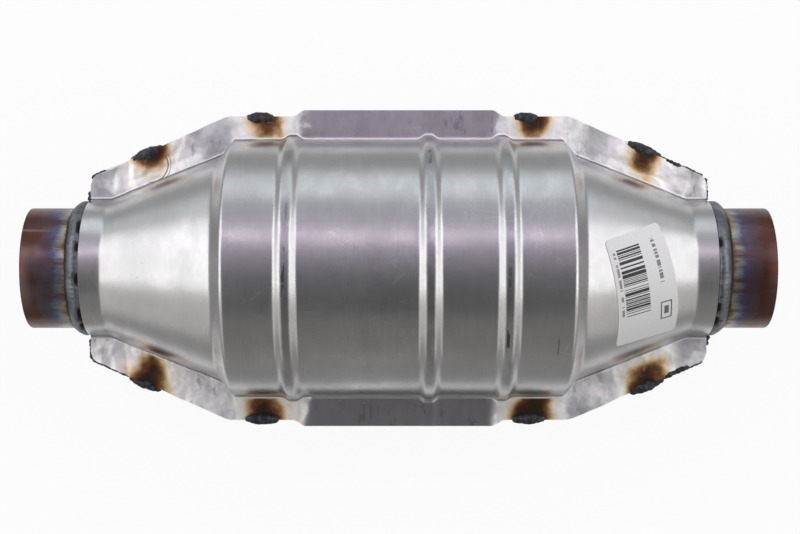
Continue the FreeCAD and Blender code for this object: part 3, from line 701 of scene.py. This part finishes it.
def flange_edge(stations):
    """Distance of the flange's edge from the middle, for each X."""
    corners = [((0.0, WIDE_EDGE), 0.0), *FLANGE_CORNERS, ((SHELL_END, NECK_RADIUS), 0.0)]
    points = bent_line(corners, EDGE_PITCH)
    last = SHELL_END - 0.0001 * MM
    kept = [p for p in points if p.x < last]
    kept.append(next(p for p in points if p.x >= last))
    return np.interp(np.abs(stations), *np.array(kept).T)


# Creases across the flanges beside the cones: X, side along Y, width, height and lean.
CREASES = (
    (-135.5, 1, 2.2, 0.9, 0.10), (-130.6, 1, 1.7, -0.8, 0.25), (-124.5, 1, 2.0, 0.6, -0.2),
    (-120.8, 1, 1.2, -0.8, -0.1), (-105.5, 1, 1.0, -0.7, 0.55), (-88.0, 1, 3.0, 0.4, 0.3),
    (-134.8, -1, 2.2, 0.8, 0.15), (-129.5, -1, 2.4, 1.1, 0.2), (-124.0, -1, 1.6, -0.9, 0.1),
    (-117.0, -1, 2.2, 0.4, 0.0), (-86.0, -1, 2.4, 0.7, -0.5), (-81.5, -1, 2.0, -0.5, -0.4),
    (133.5, 1, 2.6, 0.7, 0.1), (127.0, 1, 2.4, -0.4, -0.2), (96.0, 1, 3.2, 0.3, 0.2),
    (86.0, 1, 2.6, 0.5, 0.5), (131.0, -1, 2.2, 0.6, 0.2), (124.5, -1, 1.8, -0.6, 0.1),
    (120.5, -1, 1.5, 0.6, -0.3), (84.0, -1, 2.4, 0.7, 0.5), (95.0, -1, 3.0, -0.3, 0.0),
)

# Dark marks on the upper shield: X, Y, half width, half length and strength.
GOUGES = (
    (-48.0, -2.5, 1.0, 12.5, 1.0), (-46.9, 22.0, 0.5, 6.0, 0.5),
    (46.2, -3.8, 0.9, 5.0, 0.95), (46.0, -29.5, 0.9, 4.5, 0.9), (13.5, 48.0, 0.9, 3.5, 0.6),
    (67.5, -32.0, 0.5, 5.0, 0.5), (-15.6, -65.5, 0.35, 4.5, 0.7), (-12.6, -66.0, 0.3, 4.0, 0.8),
    (-9.2, -66.0, 0.35, 4.5, 0.6), (42.0, 65.0, 0.4, 4.0, 0.5),
)


def smoothly(value, low, high):
    """Goes from 0 at low to 1 at high without a corner."""
    share = np.clip((value - low) / (high - low), 0.0, 1.0)
    return share * share * (3 - 2 * share)


def flange_wave(x, y, root, edge, height):
    """How far both flanges are bent up out of the seam plane at a place."""
    out = np.clip((np.abs(y) - root) / (edge - root), 0.0, 1.2)
    bend = np.zeros_like(x)
    for place, side, width, rise, lean in CREASES:
        line = place * MM + lean * (np.abs(y) - root)
        ridge = np.exp(-(((x - line) / (width * MM)) ** 2))
        bend += ridge * rise * height * (np.sign(y) == side)
    buckle = noises(x * 75.0, y * 95.0, 3.0)
    bend += 1.7 * height * buckle * smoothly(np.abs(x), 66 * MM, 84 * MM)
    front_slope, rear_slope = 0.11, 0.045
    droop = np.where(y < 0, front_slope, rear_slope) * (np.abs(y) - root)
    droop *= 1 - smoothly(np.abs(x), 60 * MM, 90 * MM)
    return bend * out ** 1.2 - np.maximum(droop, 0.0)


def shield(name, node, side):
    """One pressed half: a grid laid over shell and flanges, then given the sheet's thickness."""
    size = sizes()
    line = shell_line(size.sheet, size.rib_height)
    stations, radii = np.array(line).T
    edges = flange_edge(stations)
    lip_rows, bend_rows, arc_rows = 9, 5, 92
    rows = 2 * (lip_rows + bend_rows) + arc_rows

    piece, column, row = laid_grid(name, len(line) - 1, rows)
    mirrored = row > rows // 2
    step = np.where(mirrored, rows - row, row)
    lean = np.where(mirrored, -1.0, 1.0)

    x, r, edge = stations[column], radii[column], edges[column]
    fillet = ROOT_BEND + size.sheet
    root = np.sqrt((r + fillet) ** 2 - fillet ** 2)
    corner = np.arcsin(fillet / (r + fillet))
    on_lip = step <= lip_rows
    on_bend = (step > lip_rows) & (step <= lip_rows + bend_rows)
    share = np.clip(step / lip_rows, 0.0, 1.0)
    y = edge + (root - edge) * share
    z = np.zeros_like(y)
    swing = np.clip((step - lip_rows) / bend_rows, 0.0, 1.0) * (PI / 2 - corner)
    y = np.where(on_bend, root - fillet * np.sin(swing), y)
    z = np.where(on_bend, fillet * (1 - np.cos(swing)), z)
    turn = corner + (PI / 2 - corner) * np.clip(
        (step - lip_rows - bend_rows) / (rows / 2 - lip_rows - bend_rows), 0.0, 1.0)
    on_arc = ~(on_lip | on_bend)
    y = np.where(on_arc, r * np.cos(turn), y) * lean
    z = np.where(on_arc, r * np.sin(turn), z)

    # beside the cones the flange is raised a little next to the root
    rise = 0.8 * MM
    raised = rise * smoothly(np.abs(x), 84 * MM, 92 * MM) * (
        1 - smoothly(np.abs(x), 117 * MM, 124 * MM))
    raised = raised * (1 - smoothly(np.abs(y) - root, 2.0 * MM, 3.2 * MM))
    raised = raised * (1 - smoothly(z, 1 * MM, 12 * MM))
    z = (z + raised) * side + flange_wave(x, y, root, edge, size.waviness) * on_lip

    # shallow unevenness of the pressing, seen in the reflections
    dent = noises(x * 28.0, y * 28.0, z * 28.0)
    fold = noises(x * 60.0, y * 18.0, z * 18.0 + 7.0)
    dent = 1 + (0.12 * dent + 0.05 * fold) * MM / r * on_arc
    place_points(piece, x, y * dent, z * dent)

    # laid-out coordinates for the grain, and how far outside the root a place is, in millimetres
    girth = np.where(on_lip, np.abs(y), np.where(on_arc, edge + r * turn, edge)) * lean
    layer = piece.data.uv_layers[0]
    layer.name = "developed"
    loops = np.empty(len(piece.data.loops), dtype=np.int32)
    piece.data.loops.foreach_get("vertex_index", loops)
    layer.data.foreach_set("uv", np.column_stack((x, girth))[loops].ravel())
    outside = piece.data.attributes.new("lip", "FLOAT", "POINT")
    outside.data.foreach_set("value", np.clip((np.abs(y) - root) / MM, -6.0, 20.0))

    only(piece)
    if piece.data.polygons[len(piece.data.polygons) // 2].normal.z * side < 0:
        bpy.ops.object.mode_set(mode="EDIT")
        bpy.ops.mesh.select_all(action="SELECT")
        bpy.ops.mesh.flip_normals()
        bpy.ops.object.mode_set(mode="OBJECT")
    with_modifier(piece, "SOLIDIFY", thickness=size.sheet, offset=1.0, use_even_offset=True,
                  use_rim=True)
    smooth(piece, 35.0)
    settled(piece, "pressed_sheet")
    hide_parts(node)


# Welds.

# Tack welds: kind, end, first and last place in the seam plane, count of balls and radius.
TACKS = (
    ("rear_cone", "inlet", (-119.0, 49.0), (-108.0, 53.8), 7, 2.9),
    ("rear_barrel", "inlet", (-67.4, 67.6), (-58.2, 67.8), 6, 2.9),
    ("rear_barrel", "outlet", (53.8, 68.0), (61.2, 67.6), 5, 2.8),
    ("rear_cone", "outlet", (104.6, 55.6), (116.6, 50.6), 7, 2.9),
    ("front_cone", "inlet", (-120.0, -49.6), (-108.6, -54.4), 7, 2.6),
    ("front_barrel", "inlet", (-68.0, -68.0), (-56.2, -68.4), 7, 2.7),
    ("front_barrel", "outlet", (53.0, -68.4), (64.6, -67.8), 7, 2.6),
    ("front_cone", "outlet", (105.8, -55.6), (118.0, -50.4), 8, 2.7),
)

# End seams: side, end, radius, and runs of balls as first place, last place and count.
SEAMS = (
    ("front", "inlet", 1.25,
     ((-122.0, -48.4), (-137.0, -41.6), 10), ((-138.4, -40.0), (-138.7, -33.0), 5)),
    ("rear", "inlet", 1.30,
     ((-132.6, 43.4), (-137.2, 41.2), 4), ((-138.9, 33.6), (-139.4, 31.4), 2)),
    ("front", "outlet", 1.45,
     ((118.6, -49.8), (135.8, -42.0), 10), ((138.8, -33.8), (139.4, -31.4), 2)),
    ("rear", "outlet", 1.15,
     ((118.0, 50.2), (136.4, 41.8), 12), ((138.4, 39.8), (138.9, 31.4), 6)),
)

# Gaps where a ring weld missed the shield, as (angle from the top, half width) in degrees.
RING_GAPS = {
    -1: ((38, 7), (18, 4), (-10, 5), (-44, 8), (120, 6), (205, 9), (300, 5)),
    1: ((-36, 5), (-52, 6), (22, 4), (140, 7), (230, 5)),
}


def lump_chain(name, places, radius, seed, flatten=0.8, taper=0.45):
    """A run of melted lumps: balls along the places, grown together and roughened."""
    balls = []
    for number, place in enumerate(places):
        only()
        swell = 1 + 0.16 * noise.noise(Vector((seed * 3.1, number * 1.7, 0.4)))
        swell *= 1 - taper + taper * math.sin(PI * (number + 0.5) / len(places))
        bpy.ops.mesh.primitive_ico_sphere_add(
            subdivisions=3, radius=radius * swell, location=place)
        ball = started(f"{name}_{number}")
        ball.scale = (1.12, 1.0, flatten)
        balls.append(ball)
    only(*balls)
    bpy.ops.object.transform_apply()
    bpy.ops.object.join()
    chain = started(name)
    with_modifier(chain, "REMESH", mode="VOXEL", voxel_size=0.30 * MM)
    with_modifier(chain, "SMOOTH", factor=0.6, iterations=10)
    for vertex in chain.data.vertices:
        point = vertex.co / MM + Vector((seed * 11.0, seed * 5.0, 0.0))
        rough = 0.26 * noise.noise(point * 0.50) + 0.11 * noise.noise(point * 1.5)
        vertex.co += vertex.normal * rough * MM
    smooth(chain, 60.0)
    return chain


def edge_run(start, end, count):
    """Evenly spread places between two points in the seam plane, in millimetres."""
    first, last = Vector((*start, 0.0)), Vector((*end, 0.0))
    return [first.lerp(last, n / (count - 1)) * MM for n in range(count)]


def ring_weld(name, node, side):
    """A ring weld: its section is spun round, then rippled, and opened where the bead missed."""
    foot, toe, crown, gap_depth, count = 0.6 * MM, 0.3 * MM, 0.9 * MM, 1.6 * MM, 12
    section = [(SHELL_END - foot, PIPE_OUTER - toe)]
    for number in range(count + 1):
        share = number / count
        x = SHELL_END + (RING_END + toe - SHELL_END) * share
        rise = (RING_TOP - PIPE_OUTER) * (1 - share ** 1.6) + crown * math.sin(PI * share)
        section.append((x, PIPE_OUTER + rise * (0.98 if number else 0.86)))
    section.append((RING_END + toe, PIPE_OUTER - toe))
    ring = spun(name, [(side * x, r) for x, r in section], 288)
    ripple_pitch = 2.1
    mask = ring.data.attributes.new("shaded_gap", "FLOAT", "POINT")
    for vertex, paint in zip(ring.data.vertices, mask.data):
        x, y, z = vertex.co
        x *= side
        r = math.hypot(y, z)
        if r < PIPE_OUTER - 0.1 * MM:
            continue
        swing = math.atan2(y, z)
        near_shell = max(0.0, 1 - (x - SHELL_END) / (2.4 * MM))
        arc = swing * PIPE_OUTER / MM
        waver = 3.0 * noise.noise(Vector((arc * 0.2, 0, 0)))
        ripple = 0.10 * math.sin(arc / ripple_pitch * 2 * PI + waver)
        lump = 0.42 * noise.noise(Vector((arc * 0.22, x * 180.0, side * 3.0)))
        grow = (ripple + lump) * MM * min(1.0, (r - PIPE_OUTER) / (0.8 * MM) + 0.25)
        hole = 0.0
        for place, width in RING_GAPS[side]:
            off = (math.degrees(swing) - place + 180.0) % 360.0 - 180.0
            hole = max(hole, math.exp(-((off / width) ** 4)))
        hole *= min(1.0, near_shell * 2.2)
        r = max(r + grow - gap_depth * hole, PIPE_OUTER - 0.2 * MM)
        wander = 0.5 * MM * noise.noise(Vector((arc * 0.12, 4.0, side * 2.0)))
        x += wander * (1 - near_shell) if x > SHELL_END else 0.0
        vertex.co = (side * x, r * math.sin(swing), r * math.cos(swing))
        # mask for the painted shade in the open gaps
        paint.value = min(1.0, hole * 1.6)
    smooth(ring, 60.0)
    settled(ring, "ring_bead")
    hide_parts(node)


# Operators, one for each piece or group of like pieces.


class CONVERTER_OT_finishes(bpy.types.Operator):
    """Make the finishes and put them on the pieces that keep their own mesh"""

    bl_idname = "converter.finishes"
    bl_label = "Finishes"

    def execute(self, context):
        for finish in (pressed_sheet, tinted_tube, ring_bead, burnt_lump,
                       inner_sheet, wash_coat, ceramic_fibre, sticker_paper):
            finish()
        kept_nodes = (
            ("inner_sheet", ("inlet_cone", "outlet_cone", "core_jacket")),
            ("wash_coat", ("foil_core",)),
            ("ceramic_fibre", ("upper_insulation_mat", "lower_insulation_mat")),
            ("sticker_paper", ("label",)),
            ("ring_bead", ("inlet_jacket_weld", "outlet_jacket_weld")),
        )
        for finish, names in kept_nodes:
            for name in names:
                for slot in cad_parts[name].material_slots:
                    slot.material = bpy.data.materials[finish]
        return {"FINISHED"}


class CONVERTER_OT_shields(bpy.types.Operator):
    """Press the two ribbed heat shields with their flanges"""

    bl_idname = "converter.shields"
    bl_label = "Heat shields"

    def execute(self, context):
        shield("upper_shield", "upper_heat_shield", 1)
        shield("lower_shield", "lower_heat_shield", -1)
        return {"FINISHED"}


class CONVERTER_OT_stubs(bpy.types.Operator):
    """Spin the two pipe stubs"""

    bl_idname = "converter.stubs"
    bl_label = "Pipe stubs"

    def execute(self, context):
        outer_round, inner_round, corner, spans = 0.35 * MM, 0.2 * MM, 0.1 * MM, 7
        straight = PIPE_END - outer_round - PIPE_START
        section = [(PIPE_START + straight * n / spans, PIPE_OUTER) for n in range(spans + 1)]
        section += [
            (PIPE_END - corner, PIPE_OUTER - corner),
            (PIPE_END, PIPE_OUTER - outer_round),
            (PIPE_END, PIPE_INNER + inner_round),
            (PIPE_END - inner_round, PIPE_INNER),
            (PIPE_START, PIPE_INNER),
        ]
        for end, side in (("inlet", -1), ("outlet", 1)):
            tube = spun(f"{end}_stub", [(side * x, r) for x, r in section])
            smooth(tube, 30.0)
            settled(tube, "tinted_tube")
            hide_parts(f"{end}_pipe")
        return {"FINISHED"}


class CONVERTER_OT_ring_welds(bpy.types.Operator):
    """Lay the ring welds between the stubs and the shields"""

    bl_idname = "converter.ring_welds"
    bl_label = "Ring welds"

    def execute(self, context):
        ring_weld("inlet_ring_weld", "inlet_pipe_weld", -1)
        ring_weld("outlet_ring_weld", "outlet_pipe_weld", 1)
        return {"FINISHED"}


class CONVERTER_OT_tack_welds(bpy.types.Operator):
    """Lay the eight burnt tack welds over the flange edges"""

    bl_idname = "converter.tack_welds"
    bl_label = "Tack welds"

    def execute(self, context):
        for seed, (kind, end, start, stop, count, radius) in enumerate(TACKS):
            places = edge_run(start, stop, count)
            tack = lump_chain(f"{end}_{kind}_bead", places, radius * MM, seed + 1.0)
            settled(tack, "burnt_lump")
            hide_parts(f"{end}_{kind}_tack")
        return {"FINISHED"}


class CONVERTER_OT_end_seams(bpy.types.Operator):
    """Lay the dark seams on the flange corners beside the necks"""

    bl_idname = "converter.end_seams"
    bl_label = "End seams"

    def execute(self, context):
        for seed, (side, end, radius, *runs) in enumerate(SEAMS):
            places = [place for run in runs for place in edge_run(*run)]
            seam = lump_chain(
                f"{end}_{side}_edge_bead", places, radius * MM, seed + 20.0, 1.1, 0.15)
            settled(seam, "burnt_lump")
            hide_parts(f"{end}_{side}_seam")
        return {"FINISHED"}


class CONVERTER_OT_foil_core(bpy.types.Operator):
    """Wind the foil core: a flat foil and a waved foil rolled up together"""

    bl_idname = "converter.foil_core"
    bl_label = "Foil core"

    def execute(self, context):
        size = sizes()
        layer = size.foil_layer
        flat_points, wave_points = [], []
        lifts = (0.05, 0.5, 0.95, 0.5)
        turn, phase, closing_step = 0.0, 0, 0.04
        while (radius := CORE_EYE + layer * turn / (2 * PI)) <= CORE_RADIUS - layer:
            lift = lifts[phase % 4] * (layer - size.foil)
            wave_points.append((radius + size.foil / 2 + lift, turn))
            if phase % 2 == 0:
                flat_points.append((radius, turn))
            turn += WAVE_PITCH / 4 / (radius + layer / 2)
            phase += 1
        # the flat foil goes round once more to close the roll
        last_turn = turn + 2 * PI
        while turn < last_turn:
            radius = CORE_EYE + layer * turn / (2 * PI)
            flat_points.append((min(radius, CORE_RADIUS - size.foil), turn))
            turn += closing_step
        foils = []
        for name, points in (("flat_foil", flat_points), ("waved_foil", wave_points)):
            foil, number, face = laid_grid(name, len(points) - 1, 1)
            radii, turns = np.array(points)[number].T
            place_points(
                foil, CORE_HALF * (2 * face - 1), radii * np.sin(turns), radii * np.cos(turns))
            with_modifier(foil, "SOLIDIFY", thickness=size.foil, offset=0.0, use_rim=True)
            foils.append(foil)
        only(*foils)
        bpy.ops.object.join()
        core = started("wound_core")
        settled(core, "wash_coat")
        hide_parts("foil_core")
        return {"FINISHED"}


class CONVERTER_OT_studio(bpy.types.Operator):
    """Set up the white floor, the soft lights, the world and the camera"""

    bl_idname = "converter.studio"
    bl_label = "Studio"

    def execute(self, context):
        only()
        floor_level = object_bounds()[0][2]
        bpy.ops.mesh.primitive_plane_add(size=14.0, location=(0.0, 0.0, floor_level))
        floor = started("floor")
        only(floor)
        bpy.ops.object.transform_apply()
        floor_white()
        floor.data.materials.append(bpy.data.materials["floor_white"])
        floor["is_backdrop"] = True

        # name, place, width, height, radiance, colour
        boxes = (
            ("rear_box", (0.0, 1.40, 0.24), 2.8, 0.85, 0.70, (0.84, 0.95, 1.0)),
            ("inlet_box", (-1.20, 0.28, 0.86), 1.6, 1.12, 1.42, (1.0, 1.0, 0.99)),
            ("outlet_box", (1.20, 0.28, 0.86), 1.6, 1.12, 1.42, (1.0, 1.0, 0.99)),
            ("strip", (0.0, 0.60, 1.13), 1.5, 0.10, 1.95, (1.0, 0.87, 0.99)),
        )
        for name, place, width, height, radiance, colour in boxes:
            bpy.ops.object.light_add(type="AREA", location=place)
            lamp = context.view_layer.objects.active
            lamp.name = lamp.data.name = name
            lamp.data.shape = "RECTANGLE"
            lamp.data.size, lamp.data.size_y = width, height
            lamp.data.energy = radiance * PI * width * height
            lamp.data.color = colour
            lamp.rotation_euler = (-Vector(place)).to_track_quat("-Z", "Y").to_euler()
            lamp.visible_camera = False

        world = bpy.data.worlds.new("studio")
        context.scene.world = world
        world.use_nodes = True
        world.node_tree.nodes.clear()
        wire = Wire(world.node_tree)
        way = wire.node("ShaderNodeTexCoord", out=0)
        around = wire.maths("ARCTAN2", wire.axis(way, 2), wire.axis(way, 1)) / PI
        # brightness from the rear horizon over the top to the front horizon
        shade = wire.node("ShaderNodeValToRGB", {"Fac": around}, stops=(
            (0.00, (0.50, 0.50, 0.51)),
            (0.20, (0.52, 0.52, 0.56)),
            (0.27, (0.54, 0.52, 0.60)),
            (0.35, (0.56, 0.50, 0.60)),
            (0.42, (0.36, 0.33, 0.40)),
            (0.49, (0.24, 0.23, 0.27)),
            (0.55, (0.10, 0.10, 0.105)),
            (0.71, (0.080, 0.080, 0.082)),
            (0.75, (0.20, 0.195, 0.19)),
            (0.90, (0.24, 0.235, 0.23)),
            (1.00, (0.34, 0.33, 0.32)),
        ))
        # the front corners are brighter than the front
        corner = wire.axis(way, 0).size().step(0.25, 0.52) * wire.axis(way, 1).step(0.15, -0.30)
        shade = (corner * 0.85).mixed(shade, (0.84, 0.83, 0.82))
        camera = wire.node("ShaderNodeLightPath", out="Is Camera Ray")
        shade = camera.mixed(shade, (1.0, 1.0, 1.0))
        glow = wire.node("ShaderNodeBackground", {"Color": shade, "Strength": 1.0})
        wire.node("ShaderNodeOutputWorld", {"Surface": glow})

        bpy.ops.object.camera_add(location=(0.0006, 0.0005, 0.690), rotation=(0.0, 0.0, 0.0))
        camera = context.view_layer.objects.active
        camera.name = "camera"
        camera.data.lens = 68.7
        camera.data.clip_start = 0.01
        context.scene.camera = camera
        context.scene.view_settings.view_transform = "Standard"
        return {"FINISHED"}


class CONVERTER_PT_panel(bpy.types.Panel):
    """Sizes, colours and steps of the converter"""

    bl_idname = "CONVERTER_PT_panel"
    bl_label = "Catalytic converter"
    bl_space_type = "VIEW_3D"
    bl_region_type = "UI"
    bl_category = "Converter"

    def draw(self, context):
        for group in (sizes(), colours()):
            for name in group.bl_rna.properties.keys():
                if name not in ("name", "rna_type"):
                    self.layout.prop(group, name)
        for step in OPERATORS:
            self.layout.operator(step.bl_idname)


OPERATORS = (
    CONVERTER_OT_finishes,
    CONVERTER_OT_shields,
    CONVERTER_OT_stubs,
    CONVERTER_OT_ring_welds,
    CONVERTER_OT_tack_welds,
    CONVERTER_OT_end_seams,
    CONVERTER_OT_foil_core,
    CONVERTER_OT_studio,
)
CLASSES = (ConverterSizes, ConverterColours, *OPERATORS, CONVERTER_PT_panel)


def register():
    for each in CLASSES:
        bpy.utils.register_class(each)
    bpy.types.Scene.converter_sizes = bpy.props.PointerProperty(type=ConverterSizes)
    bpy.types.Scene.converter_colours = bpy.props.PointerProperty(type=ConverterColours)


def unregister():
    del bpy.types.Scene.converter_colours
    del bpy.types.Scene.converter_sizes
    for each in reversed(CLASSES):
        bpy.utils.unregister_class(each)


def main():
    register()
    for step in OPERATORS:
        getattr(bpy.ops.converter, step.bl_idname.split(".")[1])()


if __name__ == "__main__":
    main()
